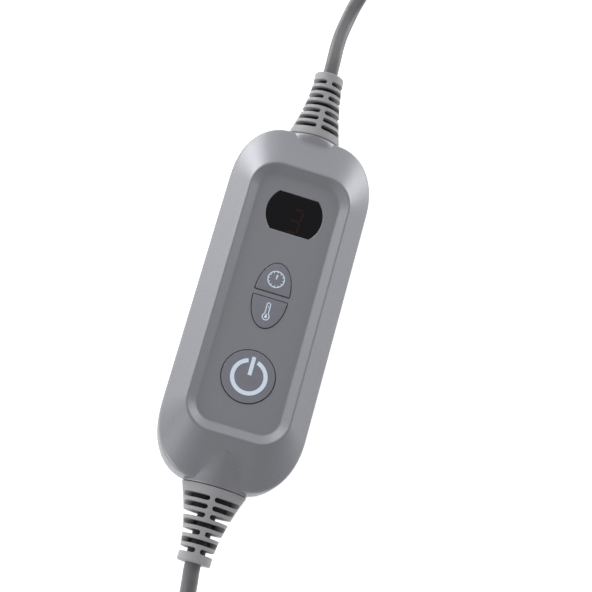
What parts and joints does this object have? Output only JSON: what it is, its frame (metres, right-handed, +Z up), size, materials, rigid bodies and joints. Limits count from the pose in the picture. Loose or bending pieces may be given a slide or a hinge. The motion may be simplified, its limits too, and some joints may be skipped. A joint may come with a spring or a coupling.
{
  "type": "in-line hand controller",
  "caption": "Silver-grey in-line hand controller with a dished face, display window, push buttons, slotted strain reliefs and two cords ending in a plug and a connector.",
  "frame": {"origin": "centre of the flat underside of the case, on the surface that it lies on", "axes": "+X to the right of the face, +Y along the case towards the display end, +Z up out of the face"},
  "size_m": [0.0616, 0.56, 0.0266],
  "materials": {
    "shell_paint": "satin silver-grey metallic paint on moulded ABS",
    "button_plastic": "satin grey moulded plastic",
    "smoked_lens": "gloss smoked acrylic",
    "relief_pvc": "satin grey moulded PVC",
    "cord_pvc": "satin grey extruded PVC",
    "board_laminate": "green solder mask",
    "component_black": "matt black moulding",
    "terminal_green": "green moulding",
    "ceramic_white": "glazed ceramic",
    "varistor_blue": "dipped blue coating",
    "capacitor_yellow": "yellow moulded case",
    "transformer_core": "yellow tape over ferrite",
    "aluminium_fins": "milled aluminium",
    "core_brown": "brown insulation",
    "core_blue": "blue insulation",
    "core_white": "white insulation",
    "tie_strap": "black hook-and-loop strap",
    "pin_brass": "nickelled brass",
    "screw_steel": "zinc-plated steel"
  },
  "bodies": {
    "controller": {"lower_shell": "shell_paint", "upper_shell": "shell_paint", "display_window": "smoked_lens", "display_module": "component_black", "timer_switch_body": "component_black", "temperature_switch_body": "component_black", "power_switch_body": "component_black", "circuit_board": "board_laminate", "microcontroller": "component_black", "buzzer": "component_black", "mains_terminal_block": "terminal_green", "heater_terminal_block": "terminal_green", "mains_fuse": "ceramic_white", "surge_varistor": "varistor_blue", "filter_capacitor": "capacitor_yellow", "supply_transformer": "transformer_core", "smoothing_capacitor": "component_black", "rectifier_bridge": "component_black", "heater_triac": "component_black", "heat_sink": "aluminium_fins", "mains_strain_relief": "relief_pvc", "heater_strain_relief": "relief_pvc", "mains_cord_tail": "cord_pvc", "heater_cord_tail": "cord_pvc", "mains_core_live": "core_brown", "mains_core_neutral": "core_blue", "heater_core_live": "core_brown", "heater_core_neutral": "core_blue", "sensor_core": "core_white", "mains_cord_clamp": "component_black", "heater_cord_clamp": "component_black", "mains_lead": "cord_pvc", "mains_lead_end": "cord_pvc", "mains_lead_hank": "cord_pvc", "mains_hank_tie": "tie_strap", "mains_plug": "relief_pvc", "mains_plug_pin_left": "pin_brass", "mains_plug_pin_right": "pin_brass", "heater_lead": "cord_pvc", "heater_lead_end": "cord_pvc", "heater_lead_hank": "cord_pvc", "heater_hank_tie": "tie_strap", "heater_connector": "relief_pvc", "case_screw_display_left": "screw_steel", "case_screw_display_right": "screw_steel", "case_screw_power_left": "screw_steel", "case_screw_power_right": "screw_steel", "board_screw_display_end": "screw_steel", "board_screw_power_end": "screw_steel", "mains_clamp_screw_left": "screw_steel", "mains_clamp_screw_right": "screw_steel", "heater_clamp_screw_left": "screw_steel", "heater_clamp_screw_right": "screw_steel"},
    "timer_key": {"timer_button": "button_plastic", "timer_switch_plunger": "button_plastic"},
    "temperature_key": {"temperature_button": "button_plastic", "temperature_switch_plunger": "button_plastic"},
    "power_key": {"power_button": "button_plastic", "power_switch_plunger": "button_plastic"}
  },
  "joints": [
    {"name": "timer_press", "type": "slide", "parent": "controller", "child": "timer_key", "axis": [0, 0, -1], "range_m": [0, 0.0005], "stiffness_N_per_m": 3000, "springref_m": -0.0002},
    {"name": "temperature_press", "type": "slide", "parent": "controller", "child": "temperature_key", "axis": [0, 0, -1], "range_m": [0, 0.0005], "stiffness_N_per_m": 3000, "springref_m": -0.0002},
    {"name": "power_press", "type": "slide", "parent": "controller", "child": "power_key", "axis": [0, 0, -1], "range_m": [0, 0.0005], "stiffness_N_per_m": 3000, "springref_m": -0.0002}
  ]
}
